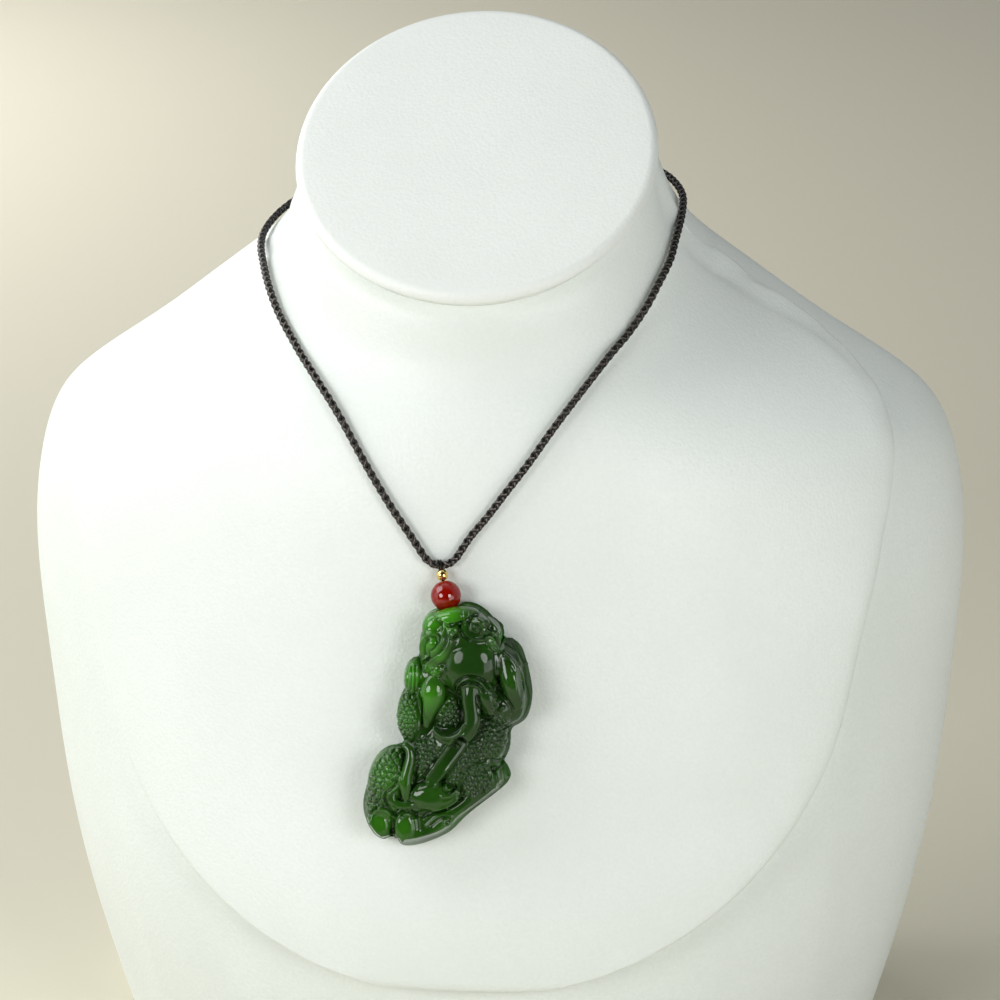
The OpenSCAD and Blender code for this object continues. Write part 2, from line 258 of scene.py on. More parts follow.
# Corners closer than the first are one, and ways that agree to the second are the same
MERGED, SAME_WAY = 0.000002, 0.9999
NECK_SLANT = radians(30.5)
# The leatherette's slow waves to the metre, and how far its pebbles are off round
WAVES, PEBBLE_BEND = 38, 0.0006


def leather_grain():
    """Pebbled grain with fine pores and slow waves of the cover, for bump and for tone."""
    group = bpy.data.node_groups.new("leather_grain", "ShaderNodeTree")
    for name, way in (("Pebbles", "INPUT"), ("Height", "OUTPUT"), ("Tone", "OUTPUT")):
        group.interface.new_socket(name, in_out=way, socket_type="NodeSocketFloat")
    pebbles = group.nodes.new("NodeGroupInput").outputs["Pebbles"]
    leave = group.nodes.new("NodeGroupOutput")
    place = node(group, "TexCoord").outputs["Object"]
    bend = node(group, "TexNoise", [("Vector", place), ("Scale", pebbles), ("Detail", 2)])
    push = node(group, "MixRGB", [("Fac", PEBBLE_BEND), ("Color1", place), ("Color2", bend.outputs["Color"])])
    cells = node(group, "TexVoronoi", [("Vector", push.outputs["Color"]), ("Scale", pebbles)])
    slow = noise(group, WAVES, 3, place=place)
    rise = result(group, "SUBTRACT", result(group, "MULTIPLY", slow, 3), cells.outputs["Distance"])
    group.links.new(rise, leave.inputs["Height"])
    group.links.new(result(group, "MULTIPLY", slow, bend.outputs["Fac"]), leave.inputs["Tone"])
    return group


GRAIN = leather_grain()


def leatherette(name, light, dark, pebbles):
    """White leatherette with a satin film, its grain of that many pebbles to the metre."""
    material, tree, skin = shader(name, {"Specular IOR Level": 0.42})
    grain = tree.nodes.new("ShaderNodeGroup")
    grain.node_tree = GRAIN
    grain.inputs["Pebbles"].default_value = pebbles
    tone = grain.outputs["Tone"]
    coloured(tree, tone, [(0.1, dark), (0.4, light)], skin.inputs["Base Color"])
    coloured(tree, tone, [(0.1, 0.5), (0.45, 0.38)], skin.inputs["Roughness"])
    bumped(tree, skin, grain.outputs["Height"], 0.26, 0.00025)
    return material


def mode(name):
    bpy.ops.object.mode_set(mode=name)


def smooth_cover(solid, name, creases, flat_ends=()):
    """A merged copy of a solid as one smooth skin, its sharp folds kept where it has creases. Each flat end,
    given by the way that it faces, is made one face first."""
    piece = bpy.data.objects.new(name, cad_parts[solid].data.copy())
    bpy.context.collection.objects.link(piece)
    pick(piece)
    mode("EDIT")
    bpy.ops.mesh.select_all(action="SELECT")
    bpy.ops.mesh.remove_doubles(threshold=MERGED)
    bpy.ops.mesh.select_mode(type="FACE")
    for way in flat_ends:
        mode("OBJECT")
        for face in piece.data.polygons:
            face.select = face.normal.dot(way) > SAME_WAY
        mode("EDIT")
        bpy.ops.mesh.dissolve_limited(angle_limit=FLAT_FOLD)
    bpy.ops.mesh.select_mode(type="VERT")
    bpy.ops.mesh.select_all(action="SELECT")
    bpy.ops.mesh.tris_convert_to_quads(face_threshold=QUAD_FOLD, shape_threshold=QUAD_FOLD)
    bpy.ops.mesh.select_all(action="DESELECT")
    if creases:
        bpy.ops.mesh.select_mode(type="EDGE")
        bpy.ops.mesh.edges_select_sharp(sharpness=SHARP_FOLD)
        bpy.ops.transform.edge_crease(value=creases)
        bpy.ops.mesh.select_mode(type="VERT")
    mode("OBJECT")
    finer = piece.modifiers.new("finer", "SUBSURF")
    finer.levels = finer.render_levels = FINE_STEPS
    bpy.ops.object.modifier_apply(modifier=finer.name)
    piece.data.shade_smooth()
    piece.data.materials.clear()
    return piece


slanted = Matrix.Rotation(NECK_SLANT, 3, "X") @ Vector((0, 0, 1))
core = smooth_cover("bust_body", "bust_core", creases=1, flat_ends=(Vector((0, 0, -1)), slanted))
pick(core)
bpy.ops.object.shade_smooth_by_angle(angle=SHARP_FOLD)
core.data.materials.append(leatherette("core_leatherette", (0.77, 0.82, 0.785), (0.725, 0.77, 0.735), 1150))
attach(core, "root")
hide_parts("bust_body")


# The raised front is one panel, 6 mm thick with a soft face, wrapped in the same leatherette. Its round
# lower edge and its sides are turned in and lie on the core. On the shoulders and the neck the panel ends
# flush against the core.
# How far off the core the panel counts as full, and its edge as thick
FULL_T, THIN_EDGE = 0.0059, 0.0008
FLUSH_FROM, FLUSH_OVER = 0.161, 0.036
FLUSH_UP, FLUSH_OUT = 0.0011, 0.0028
EDGE_FADE, CAP_CLEAR, CAP_FADE = 0.003, 0.002, 0.004
SHOULDER_TOP, SHOULDER_FADE, MOST_LIFT = 0.2095, 0.003, 0.002
# From how far beside and above a point the core is looked for, and how far down
BESIDE, ABOVE, LOOK = 0.005, 0.01, 0.02
NECK_TOP = Vector((0, 0.01683, 0.234))
front = smooth_cover("bust_front", "raised_front", creases=0)
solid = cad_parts["bust_body"].data
under = BVHTree.FromPolygons([v.co for v in solid.vertices], [list(f.vertices) for f in solid.polygons])
off_core = [under.find_nearest(v.co)[3] for v in front.data.vertices]
full = [v for v in front.data.vertices if off_core[v.index] > FULL_T]
lookup = KDTree(len(full))
for number, corner in enumerate(full):
    lookup.insert(corner.co, number)
lookup.balance()
moved = {}
for corner in front.data.vertices:
    share = min(1, (corner.co.z - FLUSH_FROM) / FLUSH_OVER)
    if share <= 0 or off_core[corner.index] > FULL_T:
        continue
    thick = full[lookup.find(corner.co)[1]]
    if corner.normal.dot(thick.normal) < 0.05:
        continue
    aside = corner.co - thick.co
    low = -aside.dot(thick.normal)
    aside += low * thick.normal
    below_cap = (NECK_TOP - corner.co).dot(slanted)
    edge = min(1, aside.length / EDGE_FADE) * min(1, max(0, (below_cap - CAP_CLEAR) / CAP_FADE))
    high = under.ray_cast(corner.co, -thick.normal, LOOK)[3]
    if high and high > THIN_EDGE:
        low = max(low, off_core[thick.index] - high)
    push = max(0, low) * thick.normal + edge * (FLUSH_UP * thick.normal + FLUSH_OUT * aside.normalized())
    spot = corner.co + share * share * (3 - 2 * share) * push
    look_from = spot + BESIDE * aside.normalized() + ABOVE * thick.normal
    behind = under.ray_cast(look_from, -thick.normal, LOOK)[0]
    if behind:
        lift = min(MOST_LIFT, max(0, (behind - spot).dot(thick.normal)))
        lift *= edge * min(1, max(0, (SHOULDER_TOP - corner.co.z) / SHOULDER_FADE))
        spot += share * lift * thick.normal
    moved[corner.index] = spot
for number, spot in moved.items():
    front.data.vertices[number].co = spot
pick(front)
for corner in front.data.vertices:
    corner.select = corner.index in moved and (NECK_TOP - corner.co).dot(slanted) > CAP_FADE
bpy.context.tool_settings.mesh_select_mode = (True, False, False)
mode("EDIT")
bpy.ops.mesh.vertices_smooth(factor=0.5, repeat=2)
mode("OBJECT")
front.data.materials.append(leatherette("front_leatherette", (0.775, 0.825, 0.79), (0.74, 0.785, 0.75), 1250))
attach(front, "root")
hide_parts("bust_front")


# The neck ends in a round cap, 86 mm across and 9 mm thick, slanted to the front and wrapped in the same
# leatherette. Its rim is rounded and turned in under the edge, its face is slightly domed, and it is glued
# on the neck.
CAP_W, CAP_T, CAP_ROUND = 0.086, 0.009, 0.0022
CAP_UNDERCUT, CAP_DOME, CAP_GAP = 0.66, 0.0006, 0.0003
CAP_RINGS = 10
CAP_STRETCH, CAP_SHIFT = (1.008, 1.042), (0.0004, 0.0003, 0)

bpy.ops.mesh.primitive_cylinder_add(vertices=128, radius=CAP_W / 2, depth=CAP_T - CAP_DOME,
                                    location=(0, 0, CAP_GAP + (CAP_T - CAP_DOME) / 2))
cap = bpy.context.object
cap.name = "slanted_cap"


def edit_faces(piece, wanted):
    """Edit mode on a piece with only the faces picked that are wanted."""
    pick(piece)
    bpy.context.tool_settings.mesh_select_mode = (False, False, True)
    mode("EDIT")
    bpy.ops.mesh.select_all(action="DESELECT")
    mode("OBJECT")
    for face in piece.data.polygons:
        face.select = wanted(face)
    mode("EDIT")


edit_faces(cap, lambda face: False)
bpy.ops.mesh.select_mode(type="EDGE")
bpy.ops.mesh.edges_select_sharp(sharpness=radians(60))
bpy.ops.mesh.bevel(offset=CAP_ROUND, segments=10, profile=0.5)
mode("OBJECT")
edit_faces(cap, lambda face: len(face.vertices) > 4)
for _ in range(CAP_RINGS - 2):
    bpy.ops.mesh.inset(thickness=CAP_W / 2 / CAP_RINGS)
bpy.ops.mesh.poke()
mode("OBJECT")
bpy.ops.object.transform_apply(location=True, rotation=True, scale=True)
for corner in cap.data.vertices:
    out = sqrt(corner.co.x**2 + corner.co.y**2)
    if corner.co.z > CAP_T / 2:
        corner.co.z += CAP_DOME * (1 - min(1, out / (CAP_W / 2))**2)
    low = CAP_T - CAP_DOME - CAP_ROUND - corner.co.z
    if low > 0 and out > 0:
        corner.co.xy *= min(out, CAP_W / 2 - CAP_UNDERCUT * low) / out
cap.data.transform(Matrix.Translation(NECK_TOP) @ Matrix.Rotation(NECK_SLANT, 4, "X")
                   @ Matrix.Translation(CAP_SHIFT) @ Matrix.Diagonal((*CAP_STRETCH, 1, 1)))
cap.data.shade_smooth()
cap.data.materials.append(leatherette("cap_leatherette", (0.79, 0.825, 0.79), (0.75, 0.785, 0.75), 1200))
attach(cap, "root")
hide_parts("neck_cap")


# The thread is the same waxed stuff, 0.4 mm thick. It goes twice round the point of the neck cord and, laid
# double, down through both beads into the carving.
HANG_POINT = (-0.005, -0.0382, 0.157)
CHEST_LEAN = radians(16.6)
ON_CHEST = Matrix.Translation(HANG_POINT) @ Matrix.Rotation(pi / 2 - CHEST_LEAN, 4, "X")
GOLD_D, RED_D, BORE_D = 0.0028, 0.0071, 0.0011
THREAD_D = 0.0004
THREAD_START = np.array((0, -0.0004, 0.0018))
THREAD_WAY = np.array((1.5, -6.3, 2.5)) / sqrt(1.5**2 + 6.3**2 + 2.5**2)
THREAD_RIGHT, THREAD_LEFT = 0.00012, 0.0002
WRAP_STEPS, WRAP_W = 20, 0.001
WRAP_FROM, WRAP_OVER = 0.15 * pi, (4 - 0.3) * pi
BEAD_GAP = 0.0001
GOLD_AT = CORD_D / 2 + GOLD_D / 2 + BEAD_GAP
RED_AT = GOLD_AT + (GOLD_D + RED_D) / 2 + BEAD_GAP
JADE_AT = RED_AT + RED_D / 2 + BEAD_GAP
THREAD_END = JADE_AT + 0.0038


def swept(name, points, radii, sides=12):
    """A closed round bar along a smooth line, its radius given at each point."""
    steps = 10 * (len(points) - 1) + 1
    line = spline(points, steps)
    size = spline([(r, 0, 0) for r in radii], steps)[:, 0]
    along = unit(np.gradient(line, axis=0))
    side = unit(np.cross(along, (0.13, 0.29, 0.95)))
    up = np.cross(side, along)
    turn = 2 * pi * np.arange(sides) / sides
    ring = np.cos(turn)[None, :, None] * side[:, None] - np.sin(turn)[None, :, None] * up[:, None]
    rings = line[:, None] + size[:, None, None] * ring
    caps = []
    for end, way in ((0, -1), (-1, 1)):
        for share in (0.35, 0.7, 0.95):
            middle = line[end] + way * share * size[end] * along[end]
            caps.append(middle + size[end] * sqrt(1 - share**2) * ring[end])
    rings = np.concatenate([np.array(caps[:3])[::-1], rings, np.array(caps[3:])])
    return tube_mesh(name, rings, closed=False)


right = np.array((1, 0, 0))
front_way = np.cross(right, THREAD_WAY)
wrap = CORD_D / 2 + THREAD_D / 2
down = (CORD_D * 0.75, GOLD_AT, RED_AT, THREAD_END)
turns = [THREAD_START + THREAD_RIGHT * right + THREAD_WAY * d for d in down[::-1]]
for k in range(WRAP_STEPS + 1):
    a = WRAP_FROM + WRAP_OVER * k / WRAP_STEPS
    turns.append(THREAD_START + (WRAP_W / 2 - WRAP_W * k / WRAP_STEPS) * right
                 + wrap * (np.sin(a) * front_way + np.cos(a) * THREAD_WAY))
turns += [THREAD_START - THREAD_LEFT * right + THREAD_WAY * d for d in down]
turns = [ON_CHEST @ Vector(p) for p in turns]
thread = swept("hanging_thread", turns, [THREAD_D / 2] * len(turns), sides=10)
thread.data.materials.append(waxed)
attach(thread, "root")
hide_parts("hang_thread")


# The gold bead is a small turned and polished ball, 2.8 mm across, with a rounded hole.
def drilled_bead(name, size, at):
    """A ball on the thread with a bore and rounded rims, its hole along the thread."""
    bpy.ops.mesh.primitive_uv_sphere_add(segments=64, ring_count=48, radius=size / 2)
    piece = bpy.context.object
    piece.name = name
    edit_faces(piece, lambda face: sqrt(face.center.x**2 + face.center.y**2) < BORE_D / 2)
    bpy.ops.mesh.delete(type="FACE")
    bpy.ops.mesh.select_mode(type="EDGE")
    bpy.ops.mesh.select_all(action="DESELECT")
    bpy.ops.mesh.select_non_manifold()
    bpy.ops.mesh.bridge_edge_loops(number_cuts=6)
    bpy.ops.mesh.select_all(action="DESELECT")
    bpy.ops.mesh.edges_select_sharp(sharpness=radians(40))
    bpy.ops.mesh.bevel(offset=BORE_D / 8, segments=4)
    bpy.ops.mesh.select_all(action="SELECT")
    bpy.ops.mesh.normals_make_consistent(inside=False)
    mode("OBJECT")
    facing = Vector(THREAD_WAY).to_track_quat("Z", "Y").to_matrix().to_4x4()
    piece.data.transform(ON_CHEST @ Matrix.Translation(THREAD_START + at * THREAD_WAY) @ facing)
    piece.data.shade_smooth()
    return piece


gold_bead = drilled_bead("gold_ball", GOLD_D, GOLD_AT)
gilt, tree, skin = shader("polished_gold", {"Metallic": 1})
cloud = noise(tree, 1400, 3)
coloured(tree, cloud, [(0.3, (0.78, 0.53, 0.16)), (0.7, (0.9, 0.68, 0.27))], skin.inputs["Base Color"])
coloured(tree, cloud, [(0.3, 0.1), (0.7, 0.2)], skin.inputs["Roughness"])
bumped(tree, skin, cloud, 0.15, 0.00003)
gold_bead.data.materials.append(gilt)
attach(gold_bead, "root")
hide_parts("gold_bead")


# The red bead is polished agate, 7.1 mm across, deep red and clear enough to show the thread in its bore.
agate_bead = drilled_bead("agate_ball", RED_D, RED_AT)
agate, tree, skin = shader("red_agate", {"IOR": 1.54, "Specular IOR Level": 0.1, "Coat Roughness": 0.03,
                                         "Transmission Weight": 0.4})
veins = noise(tree, 260, 4, distortion=1.2)
coloured(tree, veins, [(0.3, (0.29, 0.004, 0.001)), (0.7, (0.4, 0.008, 0.002))], skin.inputs["Base Color"])
coloured(tree, veins, [(0.3, 0.03), (0.7, 0.07)], skin.inputs["Roughness"])
facing = node(tree, "LayerWeight", [("Blend", 0.5)]).outputs["Facing"]
coloured(tree, facing, [(0.15, 0.9), (0.5, 0.03)], skin.inputs["Coat Weight"])
agate_bead.data.materials.append(agate)
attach(agate_bead, "root")
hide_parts("red_bead")


# The pendant is a pixiu carved from one piece of dark green jade, 40 mm wide and 60 mm high, with a flat
# back and a hole for the thread in its head. It is ground, carved with small burs and polished. Its own
# numbers are millimetres: X right, Y up along the chest and the height off its back.
JADE_CLEAR = 0.0005
CARVING = ON_CHEST @ Matrix.Translation((0, 0, JADE_CLEAR)) @ Matrix.Scale(0.001, 4)
# The outline of the whole carving at its back and that of its head, and their edges' shapes: the height
# and how far in from the outline
OUTLINE = [
    (4.1, -10), (5.9, -10.1), (7.7, -10.4), (9.2, -11.1), (10.6, -12.2), (12, -13.8), (13.4, -15.7),
    (14.8, -17.4), (16.4, -17.5), (18, -18.2), (19.4, -19.9), (20.5, -23.1), (21.3, -26.3), (21.8, -29.3),
    (21.8, -31.9), (21.2, -34.9), (20.2, -36.9), (18.9, -38), (17.4, -38.9), (16.8, -40.1),
    (16.8, -41.5), (16.5, -44), (15.7, -46), (15.3, -47), (16.4, -48.7), (16.8, -50.5),
    (15.8, -52.5), (13.1, -55), (9.6, -57.8), (6.2, -60.7), (2.3, -64.6), (-2.9, -67.2),
    (-7.2, -68.3), (-9.5, -67.9), (-10.7, -65.9), (-13.3, -66.9), (-15.5, -66), (-17.2, -63.6),
    (-18.2, -60.9), (-18.5, -58.2), (-18.1, -55.6), (-17.5, -53.4), (-16.6, -50.2), (-14.9, -47.2),
    (-13, -45.1), (-10.6, -43.8), (-8.9, -43), (-8.9, -41.4), (-9.7, -39.2), (-10.1, -36.6),
    (-10, -33.6), (-9.3, -31.4), (-8.5, -30), (-8.4, -28.2), (-8.3, -26), (-7.7, -24.2),
    (-6.6, -22.9), (-5.2, -22), (-4.8, -19), (-4.2, -15.7), (-3.3, -13.6), (-1.8, -11.9), (-0.2, -10.9),
    (1.9, -10.2),
]
EDGE = [(0, 0.4), (0.5, 0), (3.8, 1.5), (6.8, 2.9), (7.4, 3.6), (7.7, 5)]
HEAD_OUTLINE = [
    (4.1, -10), (7.8, -10.4), (10.9, -12.3), (13.7, -15.8), (15.2, -19.5), (15, -24), (13.4, -28.4),
    (9, -31.5), (3, -30.5), (-1.8, -28), (-4.6, -24), (-4.7, -19), *OUTLINE[59:],
]
HEAD_EDGE = [(0, 0.6), (0.7, 0), (5, 0.9), (8, 1.9), (9.2, 2.7), (9.9, 3.8), (10.2, 5)]
# The lower legs and the toes are flatter than the body, with steep sides
LEG_OUTLINE = [
    (-5.6, -57.8), (-2, -57.6), (2, -56.2), (6, -54), (9.6, -51), (12.6, -47.6), (15.3, -47.2),
    *OUTLINE[24:34], (-10.8, -65.9), (-10.9, -61.6), (-9.6, -58.9), (-7.6, -57.8),
]
TOE_OUTLINE = [
    (-12.2, -57.6), (-10.7, -59.4), (-10.4, -62), (-10.6, -65.7), *OUTLINE[35:38], (-17.4, -61),
    (-16.2, -58.6), (-14.4, -57.4),
]
LEG_EDGE = [(0, 0.6), (0.7, 0), (6.6, 0.5), (7.4, 1), (7.9, 1.9), (8.2, 3)]
# Rounded masses of the animal: middle x, y and height, half sizes, the turn in degrees, and how square
# the section is (2 is an ellipse)
HEAD = [
    (7, -18.6, 5.4, 7.6, 7.6, 6, 0, 2.2), (8, -22.6, 6.6, 7.5, 8.2, 5.7, 0, 2.2),
    (4.4, -11.2, 7.6, 5.6, 2, 3.4, 7, 2.3), (-0.1, -13.8, 4.9, 3.8, 3.4, 4.6, 35, 3.4),
    (8.6, -13.2, 5.6, 4.8, 2.8, 4.6, -38, 2.2), (-1, -17.8, 5.8, 3.3, 5.2, 4.4, -4, 2.6),
    (-0.7, -17.6, 9.4, 1.6, 1.7, 1.4, 0, 2), (4, -14.1, 10.3, 1.7, 1.3, 1.5, 0, 2),
    (9.3, -13.9, 8.4, 3.4, 3, 3.2, 0, 2), (9.4, -13.6, 10.8, 1.9, 1.8, 1, 0, 2),
    (13.5, -17, 7.8, 2.5, 2.5, 3, 0, 2.6), (0.6, -23.6, 8, 2.2, 2.2, 3, 0, 2),
    (11.6, -15, 4.6, 3.4, 3, 5.2, -48, 2.6), (8.9, -13, 2.6, 5.4, 3, 3.8, -38, 2.8),
    (4.2, -12, 2.8, 5.4, 2.2, 3.6, 4, 2.8), (12.4, -16, 2.6, 3, 3, 3.8, -50, 2.8),
]
CHEST_AND_SHOULDERS = [
    (15.6, -24.8, 3, 4.6, 6.4, 5, 14, 2.4), (16.6, -31, 2.6, 4.6, 6.6, 5.6, 4, 2.6),
    (-5.7, -26.6, 4.1, 2.5, 4.6, 4.3, -4, 2.4), (-6.5, -35.9, 4.2, 3.3, 6.4, 5.6, 4, 2.2),
    (2.8, -34.6, 5, 5, 5.8, 4.4, 0, 2), (11.6, -31.2, 6.6, 3, 4, 5, 25, 2),
    (14.6, -33, 4.6, 4, 5, 5, 0, 2), (0.2, -42, 4.2, 4.4, 4, 5, 0, 2.2),
]
BODY = [
    (5, -44, 3.6, 10.2, 9.6, 6.4, -20, 2.2), (11.6, -41, 3.6, 4.8, 7.4, 6.2, -10, 2.2),
    (-2.9, -45.6, 4.8, 4.6, 5.8, 4.8, -20, 2.2), (9.4, -50.8, 3.4, 6.4, 5, 5.6, 30, 2),
    (13.8, -50, 3, 2.5, 2.8, 4.8, 25, 2.6), (-11.4, -51, 4, 5.3, 7.9, 6.6, -14, 2.2),
    (-13, -57.4, 3.6, 4.2, 5.6, 5.2, 0, 2.2),
]
TAIL_AND_TOES = [
    (-0.9, -54.4, 6.4, 6.2, 3.6, 3.9, 4, 3.2), (-5.4, -56.2, 6, 3.8, 2.5, 3.6, 0, 2.4),
    (-13.8, -61.8, 4, 3.1, 4.1, 4.6, 6, 3.6), (-7.6, -62.2, 4, 3.1, 4.5, 4.8, 3, 3.6),
]
# Raised rounded parts: how flat they are, and their middle line as x, y, height and radius
PARTS = {
    "horn_hook": (0.8, [
        (8.5, -25.6, 10.6, 1.7), (8.3, -27.5, 11, 2.1), (8.2, -29.5, 11.3, 2.1), (8.4, -31.8, 11.5, 2),
        (8.7, -34, 11.6, 1.95), (8.5, -36.3, 11.6, 1.9), (7.5, -38.5, 11.4, 1.8), (5.3, -40.1, 11.1, 1.65),
        (2.7, -40.3, 10.8, 1.4), (0.6, -39.3, 10.5, 1.05), (-0.2, -38, 10.3, 0.6)]),
    "horn_lobe": (0.85, [
        (9.8, -26.4, 10.2, 1.7), (11, -27.8, 10.4, 2.2), (12, -29.7, 10.5, 2.4), (12.6, -31.6, 10.3, 2),
        (12.8, -33.2, 9.9, 1.2)]),
    "temple_lock": (0.8, [
        (2.4, -12.7, 10.2, 1), (3, -14.6, 10.8, 1.3), (2.9, -16.8, 10.9, 1.6), (1.6, -19.4, 10.6, 1.7),
        (-0.2, -21.6, 10, 1.5), (-1.6, -23.3, 9.2, 1)]),
    "left_ear": (0.65, [
        (-0.2, -24.8, 9.2, 0.6), (-0.3, -25.6, 9.3, 1.4), (-0.5, -26.6, 9.3, 2.1), (-0.65, -27.8, 9.3, 2.7),
        (-0.8, -29.2, 9.3, 3), (-0.9, -30.6, 9.3, 2.8), (-1.1, -31.8, 9.3, 2.3), (-1.4, -33, 9.3, 1.85),
        (-1.8, -34.5, 9.2, 1.5), (-2.1, -35.9, 9.2, 1.2), (-2.35, -37.1, 9.1, 0.8)]),
    "right_ear": (0.75, [
        (15.4, -20.2, 8.6, 0.8), (16, -21.6, 8.6, 1.5), (16.5, -23, 8.6, 2), (16.9, -24.5, 8.6, 2.4),
        (17.4, -26, 8.6, 2.7), (17.8, -27.6, 8.5, 2.7), (18.2, -29, 8.3, 2.4), (18.5, -30.5, 8, 1.9),
        (18.7, -32.2, 7.6, 1.1)]),
    "tail_plume": (0.8, [
        (-7.2, -42.4, 9, 0.9), (-6.4, -43.2, 9.2, 1.05), (-6.1, -44.6, 9.4, 1.15), (-6.3, -46.2, 9.6, 1.25),
        (-6.8, -48.2, 9.8, 1.35), (-7.1, -49.6, 9.9, 1.4), (-7.2, -51.3, 10, 1.4), (-7.2, -53, 10, 1.15),
        (-7.2, -54.4, 9.9, 0.8), (-7.2, -55.3, 9.8, 0.4)]),
    "tail_hook": (1, [
        (-9.7, -52.8, 9, 0.8), (-10.4, -54.2, 9.2, 0.95), (-9.9, -55.8, 9.3, 1), (-8, -56.6, 9.3, 1.1),
        (-6.2, -56.4, 9, 1.1), (-4.6, -55.8, 8.6, 0.8)]),
    "tail_wing": (0.8, [
        (-0.2, -55.2, 8.8, 1.6), (1.8, -55.2, 9, 1.5), (3.6, -54.4, 9.1, 1.2), (5, -53.2, 9.1, 0.8)]),
}
# The flat band down its back: its middle line with heights, its half width and its soft edge
SPINE = [(5.8, -40.6, 9.9), (4.3, -42.8, 10), (2.4, -45.4, 9.9), (0.5, -48.1, 9.8), (-1.2, -50.5, 9.6)]
SPINE_HALF_W, SPINE_EDGE = 1.5, 0.2
# Sides ground flat: where each starts on the outline, how steep it is at each point from there, and any
# point before them. Then how far in they reach, how far off square and from what height
GROUND_SIDES = [
    (8, (6, 6, 5.4, 4.6, 4, 4, 4, 4, 3.4, 3, 3), [(15, -17.3, 6)]),
    (24, (4, 4, 4, 4, 4, 3.6, 3, 2.5, 2.4, 2.8, 3.6), [(15.7, -47.6, 4)]),
    (34, (4, 3, 3, 3.4, 4), []),
]
GROUND_W, GROUND_SLACK, GROUND_HIGH = 4.5, 0.3, 0.5
BEADS = [(-0.9, -23.3), (-0.1, -24), (0.6, -24.2), (-1.1, -24.5), (-0.3, -24.9), (0.6, -25.2),
         (13, -28.6), (14.6, -28), (13.9, -30), (14.5, -31), (15.6, -32.5), (13.6, -32), (-8.2, -59.6),
         (-7.2, -58.9), (-6.4, -59)]
BEAD_R = 0.5
